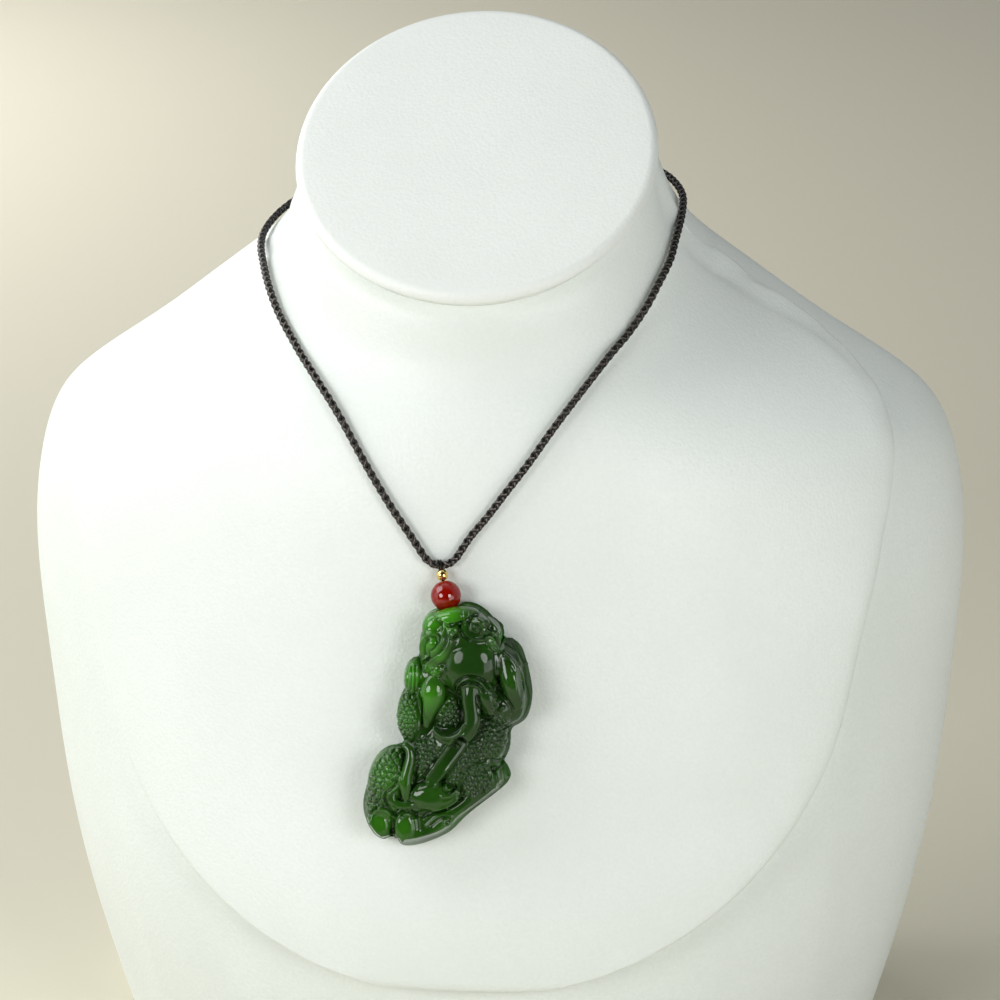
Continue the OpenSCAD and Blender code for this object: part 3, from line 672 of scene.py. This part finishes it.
# Carved lines: how far they rise (or are cut in, if below 0), their half width, and their points
LINES = [
    (-0.7, 0.42, [(0.2, -12), (1.4, -12.6), (2.7, -13), (4.9, -12.7), (7.1, -11.8), (9.3, -10.6)]),
    (0.25, 0.25, [(1.4, -11.9), (2.7, -12.3), (4.9, -12), (7.1, -11.1), (9.3, -9.9)]),
    (-0.2, 0.22, [(6.1, -9.6), (6.3, -11)]), (-0.2, 0.22, [(7.3, -9.4), (7.5, -10.7)]),
    (0.5, 0.28, [(-2.3, -15.9), (-1.1, -15.3), (0.4, -15.7), (1, -16.9)]),
    (0.45, 0.28, [(-2.3, -16), (-3.3, -17.2), (-3.7, -19.2), (-3.1, -21.1)]),
    (-0.45, 0.3, [(-1.9, -16.6), (-2.7, -18), (-2.6, -20), (-1.6, -21)]),
    (0.6, 0.28, [(1.4, -13.8), (1.9, -15.9), (1.1, -17.9), (-1.1, -20.1), (-2.8, -21.4), (-3.4, -22.7),
                 (-2.9, -24.6)]),
    (-0.7, 0.35, [(2, -13.8), (2.6, -16), (1.8, -18.2), (-0.4, -20.4), (-2.2, -21.8), (-2.8, -23)]),
    (0.45, 0.26, [(0.4, -19.9), (-1.9, -21.9), (-2.3, -23.2), (-1.9, -24.2)]),
    (-0.5, 0.3, [(5.5, -12.6), (5.6, -14), (6.4, -15.4), (7.8, -16.4)]),
    (-0.4, 0.3, [(3, -15.6), (4.2, -15.9), (5.4, -15.3)]),
    (0.6, 0.3, [(6.7, -11.9), (6.3, -13.1), (6.9, -14.5), (8.2, -15.6), (9.6, -16.2), (11, -16.4),
                (12.2, -15.7), (13.1, -15.6), (13.9, -16.4), (13.9, -17.3)]),
    (0.6, 0.3, [(8.2, -11.3), (9.3, -11.5), (10.5, -12.1), (11.4, -13.2), (11.3, -14.6), (12.6, -14.7),
                (14.1, -15.4), (15.1, -16.8), (15.2, -18), (14.6, -18.8), (13.8, -18.6), (13.1, -17.8),
                (13.2, -17.1)]),
    (-0.6, 0.35, [(7.6, -12.2), (7.4, -13.3), (8, -14.4), (9.2, -15), (10.5, -14.8), (10.7, -13.6),
                  (9.9, -12.5), (8.9, -12.3)]),
    (-0.4, 0.3, [(8.6, -13.2), (9.2, -13.7), (10, -13.4)]),
    (-0.45, 0.35, [(11.6, -15.5), (12.8, -15.2), (14, -15.9), (14.5, -17)]),
    (0.4, 0.28, [(11.8, -11.9), (13.4, -13.5), (14.6, -15.2)]),
    (-0.4, 0.35, [(11.6, -12.8), (12.8, -14)]),
    (-0.6, 0.4, [(13.9, -19.6), (14.2, -22), (14.2, -25), (15.4, -28.2)]),
    (0.5, 0.3, [(15.9, -20.2), (18, -22), (19.3, -24.6), (20, -27.2), (20, -30), (19.5, -32.6)]),
    (0.35, 0.3, [(16.9, -17.8), (18.2, -20.2), (19.2, -22.6), (20.4, -23.6)]),
    (-0.45, 0.28, [(-6.1, -23.6), (-6.2, -29.2)]), (-0.45, 0.28, [(-5, -23.4), (-5.1, -29)]),
    (-0.3, 0.25, [(-7, -25.4), (-7.1, -28.6)]),
    (0.4, 0.3, [(-4.1, -29.2), (-4.4, -30.8), (-3.8, -32.4), (-3.9, -35.6), (-4.3, -38.6)]),
    (-0.4, 0.3, [(-3.4, -30.8), (-3.2, -34), (-3.6, -37)]),
    (0.4, 0.28, [(2.8, -30.6), (1.4, -33.2), (-0.1, -35.3)]),
    (-0.45, 0.3, [(4.2, -28.9), (4.9, -26.5), (6.8, -25), (8.6, -24.7), (10.9, -25.5), (12.8, -27.4)]),
    (0.4, 0.28, [(4.8, -28.7), (5.4, -26.9), (7.1, -25.7), (8.6, -25.4), (10.4, -26.1), (12.2, -27.8)]),
    (-0.45, 0.3, [(5.2, -28.8), (5.9, -27.2), (7.4, -26.3), (8.8, -26.2), (10.4, -27), (11.7, -28.4)]),
    (0.35, 0.25, [(5.8, -28.6), (6.3, -27.5), (7.6, -26.8), (9, -26.8), (10.4, -27.6)]),
    (-0.6, 0.35, [(10, -29.6), (10.2, -31.6), (10.6, -33.6)]),
    (0.55, 0.28, [(7, -36.2), (5.8, -38.4), (3.7, -39.5), (1.2, -39.2), (-0.1, -38.3), (-0.3, -37.3),
                  (0.4, -36.7), (1.3, -36.8), (1.9, -37.3)]),
    (0.3, 0.28, [(14.3, -29.3), (16.7, -31.8), (17.4, -34)]),
    (0.35, 0.22, [(4.5, -39.9), (3.1, -41.9), (1.2, -44.6), (-0.7, -47.3), (-2.3, -49.6)]),
    (0.35, 0.22, [(7, -41.5), (5.5, -43.7), (3.6, -46.3), (1.7, -48.9), (0, -51.3)]),
    (-0.4, 0.3, [(2.4, -41.4), (0.6, -44.1), (-1.3, -46.8), (-2.9, -49.1)]),
    (-0.4, 0.3, [(6.2, -44.2), (4.3, -46.8), (2.4, -49.4), (0.9, -51.6)]),
    (0.45, 0.28, [(1.4, -53.9), (3.1, -53.9), (4.3, -53.2), (5, -52.2), (4.7, -51)]),
    (0.4, 0.25, [(2.2, -51), (2.4, -52), (3.2, -52.5), (4, -52), (3.9, -51), (3.1, -50.8)]),
    (-0.5, 0.35, [(1.6, -51), (1.9, -52.6), (3.2, -53.2), (4.4, -52.4)]),
    (0.4, 0.28, [(-2.2, -50.7), (-3.7, -51.4), (-5.1, -52.6), (-6.4, -55)]),
    (0.45, 0.28, [(-2.8, -59.6), (-1.1, -57.9), (0.7, -57.1), (3.3, -56), (5.2, -54.5)]),
    (-0.6, 0.4, [(-3.4, -59.6), (-1.4, -58.4), (0.9, -57.8), (3.4, -56.8), (5.9, -55)]),
    (0.3, 0.28, [(-2.4, -61.6), (-0.6, -59.9), (1.4, -58.8), (3.1, -58.9), (3.8, -60.1), (3, -61.3),
                 (1.8, -61.1), (1.6, -60.2)]),
    (-0.35, 0.35, [(-1.2, -61.5), (0.3, -60.1), (1.8, -59.4), (2.9, -59.9), (2.6, -60.8)]),
    (0.35, 0.3, [(-15.8, -61.3), (-14.9, -58.9), (-13.2, -57.8), (-11.6, -58.4), (-10.2, -60)]),
    (-0.5, 0.35, [(-16.2, -60.8), (-15.2, -58.2), (-13.2, -57.1), (-11.2, -57.7), (-9.9, -59.4)]),
    (-0.6, 0.45, [(-10.4, -59.4), (-10.6, -62.4), (-10.7, -66.6)]),
    (-0.6, 0.4, [(-9.9, -58.9), (-8.3, -57.8), (-6.4, -57.8), (-5, -59)]),
    (-0.35, 0.4, [(-5, -59), (-4.5, -60.6), (-4.3, -62.4)]),
    (-0.3, 0.25, [(16.1, -48), (16.6, -50.2)]), (-0.3, 0.25, [(15.4, -48), (15.9, -50.8)]),
    (-0.3, 0.25, [(14.7, -48.2), (15.2, -51.2)]),
    (-0.5, 0.4, [(13.1, -47.4), (14, -49.4), (14.6, -51.6)]),
    (0.3, 0.28, [(12.5, -47.8), (13.3, -49.8), (13.6, -52)]),
    (-0.6, 0.45, [(15.6, -46.6), (12.4, -45.4), (9.6, -46), (7.6, -47.6)]),
    (0.45, 0.28, [(-9.8, -49.6), (-9.1, -49.2), (-8.4, -50), (-8.8, -51.6), (-9.9, -52.7), (-11, -53.6),
                  (-11.3, -54.8), (-10.8, -56.4), (-9.6, -57)]),
    (-0.5, 0.3, [(-10.2, -50.3), (-9.4, -50.3), (-9.5, -51.4), (-10.7, -52.5), (-11.9, -53.5),
                 (-12.1, -55.2), (-11.4, -57)]),
    (-0.5, 0.35, [(-4.7, -43.2), (-4.4, -45.4), (-4.9, -48.4), (-5.4, -51.2)]),
    (-0.4, 0.35, [(-7.8, -43.2), (-7.7, -45.4), (-8.2, -48)]),
]
# Scaled hide: the pitch of the scales in each patch and its border
SCALES = [
    (1.25, [(-8.6, -29.8), (-4.8, -29.8), (-4.6, -33), (-4.5, -38), (-6, -41.6), (-8.6, -41), (-9.9, -36)]),
    (1.55, [(-8.3, -43.2), (-7.9, -48.6), (-10, -49.4), (-11.8, -53), (-12.2, -57), (-16.6, -59.6),
            (-17.7, -56.5), (-16.6, -51), (-14.8, -46.8), (-11.4, -43.6)]),
    (1.35, [(-5, -41.6), (-2.7, -39.8), (-0.3, -41.2), (1.4, -43.3), (-3.7, -50.1), (-5, -50.6),
           (-4.9, -45.3)]),
    (1.5, [(7.4, -42.3), (9.2, -40), (10.6, -36), (14.4, -33.9), (17, -36.2), (17.1, -41.4),
           (15, -44.6), (11, -45.4), (8.4, -47.4), (6.4, -50), (2.6, -50.4)]),
    (1.25, [(2.9, -30.3), (5.4, -31), (5.6, -36.4), (4.6, -37.9), (1.4, -36.6), (-0.1, -35.6)]),
    (1.4, [(6, -48.2), (9.6, -46.6), (12.2, -46.2), (12.6, -48.6), (12.9, -52.4), (8.6, -54.6),
           (5.6, -54), (6.2, -51.2)]),
]
SCALE_RISE, SCALE_SINK, SCALE_SCATTER, SCALE_ROWS = 0.6, 0.45, 0.27, 0.87
CUT_W, DOME_W, BORDER_W = 0.42, 0.68, 0.5
SEAT_GAP = 0.12
HOLE_R, HOLE_DEEP = 0.55, 1.6
VOXEL = 0.175
FAR = 9.0
ROOM_STEP, MOST_ROOM, ROOM_SLACK = 0.2, 5.2, 0.12
MOST_TRIANGLES = 190000


def mass(x, y, high, half_x, half_y, half_high, turn, power):
    """A rounded mass of the carving, cut off flat at its back."""
    bpy.ops.mesh.primitive_uv_sphere_add(segments=48, ring_count=32, radius=1)
    piece = bpy.context.object
    for corner in piece.data.vertices:
        across = sqrt(corner.co.x**2 + corner.co.y**2)
        corner.co *= (across**power + abs(corner.co.z)**power)**(-1 / power)
    piece.data.transform(Matrix.Translation((x, y, high)) @ Matrix.Rotation(radians(turn), 4, "Z")
                         @ Matrix.Diagonal((half_x, half_y, half_high, 1)))
    for corner in piece.data.vertices:
        corner.co.z = max(corner.co.z, 0)
    return piece


def sloped_plate(name, outline, edge):
    """A plate through a smooth clockwise outline with a sloped rim, no wider in than its own middle."""
    rim = spline([(x, y, 0) for x, y in outline], 360, closed=True)
    way = unit(np.roll(rim, -1, 0) - np.roll(rim, 1, 0))
    inward = np.stack([way[:, 1], -way[:, 0], way[:, 2]], 1)
    room = np.full(len(rim), ROOM_STEP)
    free = np.ones(len(rim), bool)
    for depth in np.arange(2 * ROOM_STEP, MOST_ROOM, ROOM_STEP):
        spot = rim + depth * inward
        nearest = np.linalg.norm(spot[:, None] - rim[None], axis=2).min(1)
        free &= nearest > depth - ROOM_SLACK
        room[free] = depth
    high_at, in_at = np.array(edge).T
    rings = []
    for high, far_in in edge:
        reach = np.minimum(far_in, room)
        capped = np.minimum(high, np.interp(room, in_at[2:], high_at[2:])) if far_in else high
        rings.append(rim + reach[:, None] * inward + np.stack([0 * room, 0 * room, capped + 0 * room], 1))
    return tube_mesh(name, np.array(rings)[:, ::-1], closed=False)


pieces = [sloped_plate("plate", OUTLINE, EDGE), sloped_plate("head_plate", HEAD_OUTLINE, HEAD_EDGE),
          sloped_plate("leg_plate", LEG_OUTLINE, LEG_EDGE), sloped_plate("toe_plate", TOE_OUTLINE, LEG_EDGE)]
for group in (HEAD, CHEST_AND_SHOULDERS, BODY, TAIL_AND_TOES):
    pieces += [mass(*numbers) for numbers in group]
for name, (flatness, numbers) in PARTS.items():
    part = swept(name, [n[:3] for n in numbers], [n[3] for n in numbers], sides=24)
    level = Matrix.Translation((0, 0, np.mean([n[2] for n in numbers])))
    part.data.transform(level @ Matrix.Diagonal((1, 1, flatness, 1)) @ level.inverted())
    pieces.append(part)
pick(*pieces)
bpy.ops.object.join()
carving = bpy.context.object
carving.name = "carved_pixiu"
block = carving.modifiers.new("block", "REMESH")
block.mode = "VOXEL"
block.voxel_size = VOXEL
bpy.ops.object.modifier_apply(modifier=block.name)


def corners(mesh):
    """The corners of a mesh and their normals as arrays."""
    place, normal = np.empty(3 * len(mesh.vertices)), np.empty(3 * len(mesh.vertices))
    mesh.vertices.foreach_get("co", place)
    mesh.vertex_normals.foreach_get("vector", normal)
    return place.reshape(-1, 3), normal.reshape(-1, 3)


def beside(place, points, reach):
    """For the places near a smooth line as seen from the front: their numbers, how far they are from it
    and the nearest place and the way on it."""
    fine = spline(points, 12 * len(points))
    low, high = fine[:, :2].min(0) - reach, fine[:, :2].max(0) + reach
    near = np.flatnonzero(((place[:, :2] > low) & (place[:, :2] < high)).all(1))
    flat = place[near, :2]
    away, at = np.full(len(near), FAR), np.zeros(len(near))
    for i, (a, b) in enumerate(zip(fine[:-1, :2], fine[1:, :2])):
        span = b - a
        t = np.clip((flat - a) @ span / max(span @ span, 1e-9), 0, 1)
        far = np.linalg.norm(flat - a - t[:, None] * span, axis=1)
        closer = far < away
        away[closer], at[closer] = far[closer], i + t[closer]
    both = np.concatenate([fine, np.gradient(fine[:, :2], axis=0)], 1)
    spot = np.stack([np.interp(at, np.arange(len(fine)), column) for column in both.T], 1)
    return near, away, spot[:, :-2], unit(spot[:, -2:])


def line_distance(place, points):
    """How far each place is from a smooth line, seen from the front, and only near it."""
    away = np.full(len(place), FAR)
    near, far, _, _ = beside(place, points, 1.5)
    away[near] = far
    return away


def inside(flat, border):
    """Which places lie inside a closed border."""
    held = np.zeros(len(flat), bool)
    for (ax, ay), (bx, by) in zip(border, border[1:] + border[:1]):
        spans = (ay > flat[:, 1]) != (by > flat[:, 1])
        held ^= spans & (flat[:, 0] < (bx - ax) * (flat[:, 1] - ay) / ((by - ay) or 1e-9) + ax)
    return held


def scales(place, border, pitch, chance):
    """The rise of the scales in one patch, rounded pebbles with cuts between, faded at its border."""
    (low_x, low_y), (high_x, high_y) = np.min(border, 0) - pitch, np.max(border, 0) + pitch
    seeds = []
    for row, y in enumerate(np.arange(low_y, high_y, pitch * SCALE_ROWS)):
        for x in np.arange(low_x + (row % 2) * pitch / 2, high_x, pitch):
            seeds.append((x, y))
    seeds = np.array(seeds) + chance.uniform(-SCALE_SCATTER, SCALE_SCATTER, (len(seeds), 2)) * pitch
    within = np.flatnonzero(inside(place[:, :2], border) & (place[:, 2] > 2))
    flat = place[within, :2]
    away = np.sort(np.linalg.norm(flat[:, None] - seeds[None], axis=2), axis=1)[:, :2]
    cut = np.clip((away[:, 1] - away[:, 0]) / (CUT_W * pitch), 0, 1)
    dome = np.sqrt(np.clip(1 - (away[:, 0] / (DOME_W * pitch))**2, 0, 1))
    edge = np.clip(line_distance(place, border + border[:1])[within] / BORDER_W, 0, 1)
    rise = np.zeros(len(place))
    rise[within] = (cut * (2 - cut) * (0.35 + 0.65 * dome) - SCALE_SINK) * edge
    return rise


mesh = carving.data
place, _ = corners(mesh)
near, away, spot, _ = beside(place, SPINE, 2)
share = np.clip((SPINE_HALF_W + SPINE_EDGE - away) / (2 * SPINE_EDGE), 0, 1) * (place[near, 2] > 5)
place[near, 2] += share * (spot[:, 2] - place[near, 2])
for first, steepness, before in GROUND_SIDES:
    points = before + [(x, y, steep) for (x, y), steep in zip(OUTLINE[first:], steepness)]
    near, away, spot, way = beside(place, points, 5)
    inward = np.stack([way[:, 1], -way[:, 0]], 1)
    steep = spot[:, 2]
    off = place[near, :2] - spot[:, :2]
    square = np.abs((off * way).sum(1)) < GROUND_SLACK
    over = (place[near, 2] - GROUND_HIGH - steep * (off * inward).sum(1)) / (1 + steep**2)
    over = np.where(square & (away < GROUND_W), np.maximum(over, 0), 0)
    place[near, :2] += (steep * over)[:, None] * inward
    place[near, 2] -= over
place[:, 2] = np.maximum(place[:, 2], 0)
mesh.vertices.foreach_set("co", place.ravel())
mesh.update()
polish = carving.modifiers.new("polish", "SMOOTH")
polish.factor, polish.iterations = 0.5, 4
bpy.ops.object.modifier_apply(modifier=polish.name)
mesh = carving.data
place, normal = corners(mesh)
to_front = np.clip((normal[:, 2] + 0.15) / 0.5, 0, 1)
chance = np.random.RandomState(7)
rise = np.zeros(len(place))
for pitch, border in SCALES:
    rise += SCALE_RISE * scales(place, border, pitch, chance) * to_front
for height, half_width, points in LINES:
    rise += height * np.exp(-(line_distance(place, points) / half_width)**2) * to_front
for x, y in BEADS:
    away = np.linalg.norm(place[:, :2] - (x, y), axis=1)
    rise += BEAD_R * np.sqrt(np.clip(1 - (away / BEAD_R)**2, 0, 1)) * to_front
place += rise[:, None] * normal

# The red bead sits in a shallow seat, and the thread goes in at its middle
to_mm = CARVING.inverted() @ ON_CHEST
bead_middle = np.array(to_mm @ Vector(THREAD_START + RED_AT * THREAD_WAY))
off = place - bead_middle
far = np.linalg.norm(off, axis=1)
seat = RED_D * 500 + SEAT_GAP
hit = far < seat
place[hit] = bead_middle + off[hit] / far[hit, None] * seat
hole = np.array(to_mm @ Vector(THREAD_START + JADE_AT * THREAD_WAY))
run = (place - hole) @ THREAD_WAY
side_way = np.linalg.norm(place - hole - run[:, None] * THREAD_WAY, axis=1)
deep = np.clip(1.3 - side_way / HOLE_R, 0, 1) * (np.abs(run) < HOLE_DEEP)
place += HOLE_DEEP * deep[:, None] * THREAD_WAY
mesh.vertices.foreach_set("co", place.ravel())
mesh.update()

triangles = sum(len(face.vertices) - 2 for face in mesh.polygons)
thin = carving.modifiers.new("thin", "DECIMATE")
thin.ratio = min(1, MOST_TRIANGLES / triangles)
bpy.ops.object.modifier_apply(modifier=thin.name)
mesh = carving.data
place, normal = corners(mesh)

# Painted glow: a brighter green where the stone is thin or high, strongest at the top and on the left.
# Painted shade: the hollows are darker. The forehead is duller.
PAINTED_GLOW_SPOTS = [
    (2.5, -10.5, 3.6, 1), (-1.5, -13, 3, 0.9), (-1.5, -18, 3.4, 0.75), (1, -20, 2.2, 0.7),
    (-5.8, -26, 3.4, 0.9), (-1, -30, 4, 0.75), (-6.8, -35, 4.4, 0.5), (-1, -24, 2.2, 0.8),
    (-12, -49, 5.5, 0.6), (-13.2, -61, 4.2, 0.55), (-7.6, -62, 3.4, 0.45), (-7, -50, 2.4, 0.15),
    (0, -55, 5, 0.2), (2, -61, 5, 0.25), (13.4, -17.5, 2, 0.35),
    (17.5, -26, 2.8, 0.2), (16, -49, 2.4, 0.25), (3.9, -14, 1.4, 0.3),
]
FOREHEAD, FOREHEAD_SIZE = (8, -21.5), (5, 6)
SOFT_STEPS, HOLLOW_SHADE_GAIN = 14, 1.6
painted_glow = np.zeros(len(place))
for x, y, reach, weight in PAINTED_GLOW_SPOTS:
    away = np.linalg.norm(place[:, :2] - (x, y), axis=1) / reach
    painted_glow = np.maximum(painted_glow, weight * np.exp(-away**2 * 0.8))
edges = np.empty(2 * len(mesh.edges), int)
mesh.edges.foreach_get("vertices", edges)
a, b = edges.reshape(-1, 2).T
count = np.bincount(np.concatenate([a, b]), minlength=len(place))[:, None]
soft = place.copy()
for _ in range(SOFT_STEPS):
    total = np.stack([np.bincount(a, soft[b, k], len(place)) + np.bincount(b, soft[a, k], len(place))
                      for k in range(3)], 1)
    soft = total / count
# Painted shade: corners that lie below the smoothed surface, in the hollows, are made darker
painted_hollow_shade = np.clip(0.5 - ((place - soft) * normal).sum(1) * HOLLOW_SHADE_GAIN, 0, 1)
painted_light_and_matt = mesh.color_attributes.new("painted_light_and_matt", "FLOAT_COLOR", "POINT")
matt = 0.6 * np.exp(-(np.linalg.norm((place[:, :2] - FOREHEAD) / FOREHEAD_SIZE, axis=1))**4)
matt = np.maximum(matt, np.clip((0.5 - normal[:, 2]) / 0.3, 0, 1) * np.clip((6 - place[:, 2]) / 2, 0, 1))
values = np.stack([painted_glow, painted_hollow_shade, matt, np.ones(len(place))], 1)
painted_light_and_matt.data.foreach_set("color", values.ravel())

mesh.transform(CARVING)
mesh.shade_smooth()
jade, tree, skin = shader("green_jade", {"IOR": 1.61, "Specular IOR Level": 0, "Coat Roughness": 0.075,
                                         "Subsurface Weight": 0.25, "Subsurface Radius": (0.25, 1, 0.2),
                                         "Subsurface Scale": 0.0012})
painted_light_in = node(tree, "Attribute", attribute_name="painted_light_and_matt").outputs["Color"]
parts = node(tree, "SeparateColor", [("Color", painted_light_in)]).outputs
cloud = noise(tree, 110, 5, distortion=0.8)
# The painted glow, with a random mottle, sets how bright the green is
painted_glow_and_mottle = result(tree, "ADD", parts["Red"], result(tree, "MULTIPLY_ADD", cloud, 0.45, -0.22))
green = coloured(tree, painted_glow_and_mottle, [(0, (0.012, 0.043, 0.006)), (0.35, (0.022, 0.092, 0.007)),
                               (1, (0.044, 0.23, 0.008))])
# Painted shade in the hollows darkens the green
shade = coloured(tree, parts["Green"], [(0.45, 1), (0.95, (0.35, 0.4, 0.35))])
green_with_painted_shade = node(tree, "MixRGB", [("Fac", 1), ("Color1", green), ("Color2", shade)], blend_type="MULTIPLY")
tree.links.new(green_with_painted_shade.outputs["Color"], skin.inputs["Base Color"])
specks = coloured(tree, noise(tree, 1500, 3), [(0.3, 0.11), (0.75, 0.18)])
tree.links.new(result(tree, "MULTIPLY_ADD", parts["Blue"], 0.12, specks), skin.inputs["Roughness"])
tree.links.new(result(tree, "MULTIPLY_ADD", parts["Blue"], -0.9, 0.95), skin.inputs["Coat Weight"])
bumped(tree, skin, cloud, 0.12, 0.0004)
mesh.materials.clear()
mesh.materials.append(jade)
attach(carving, "root")
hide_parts("jade_pixiu")


# A plain warm pale floor, a large soft box above on the left, two round lamps beside the camera and
# weak light from all round.
FLOOR_SIZE = 6
FLOOR_COLOUR = (0.61, 0.58, 0.465)
bpy.ops.mesh.primitive_plane_add(size=FLOOR_SIZE)
floor = bpy.context.object
floor.name = "floor"
floor.data.materials.append(shader("pale_floor", {"Base Color": (*FLOOR_COLOUR, 1), "Roughness": 0.9})[0])


def soft_box(name, way, distance, size, power, shape="RECTANGLE", target=AIM):
    """A light off its target along a way given right, up and towards the camera."""
    spot = target + (turned.to_3x3() @ Vector(way)).normalized() * distance
    bpy.ops.object.light_add(type="AREA", location=spot,
                             rotation=(spot - target).to_track_quat("Z", "Y").to_euler())
    light = bpy.context.object
    light.name = name
    light.data.shape = shape
    light.data.size = light.data.size_y = size
    light.data.energy = power


soft_box("window", (-0.75, 0.72, 0.25), 0.95, 0.7, 5.8)
soft_box("left_wall", (-0.97, 0.1, 0.15), 0.95, 0.7, 1.4)
soft_box("right_wall", (0.9, 0.1, 0.35), 0.95, 0.7, 0.1)
soft_box("left_lamp", (-0.64, 0.0, 0.77), 0.85, 0.4, 3.1, shape="ELLIPSE")
soft_box("right_lamp", (0.47, 0.0, 0.88), 0.85, 0.34, 2.3, shape="ELLIPSE")
soft_box("floor_light", (-0.6, 0.45, 0.1), 0.7, 0.5, 2.2, target=Vector((-0.35, 0.55, 0)))
soft_box("back_light", (-0.45, 0.7, 0.1), 0.4, 0.3, 1.65, target=Vector((-0.28, 0.66, 0)))
soft_box("low_fill", (0.66, -0.4, 0.64), 0.9, 0.6, 2.9)
world = bpy.data.worlds.new("studio")
bpy.context.scene.world = world
world.use_nodes = True
sky = world.node_tree
seen = node(sky, "TexCoord").outputs["Generated"]
ahead = node(sky, "VectorMath", [(0, seen), (1, tuple(turned.to_3x3() @ Vector((0, 0, 1))))],
             operation="DOT_PRODUCT")
coloured(sky, ahead.outputs["Value"], [(0.26, (0.95, 0.98, 1)), (0.64, 0)],
         sky.nodes["Background"].inputs["Color"])
sky.nodes["Background"].inputs["Strength"].default_value = 0.38
bpy.context.scene.view_settings.view_transform = "Standard"
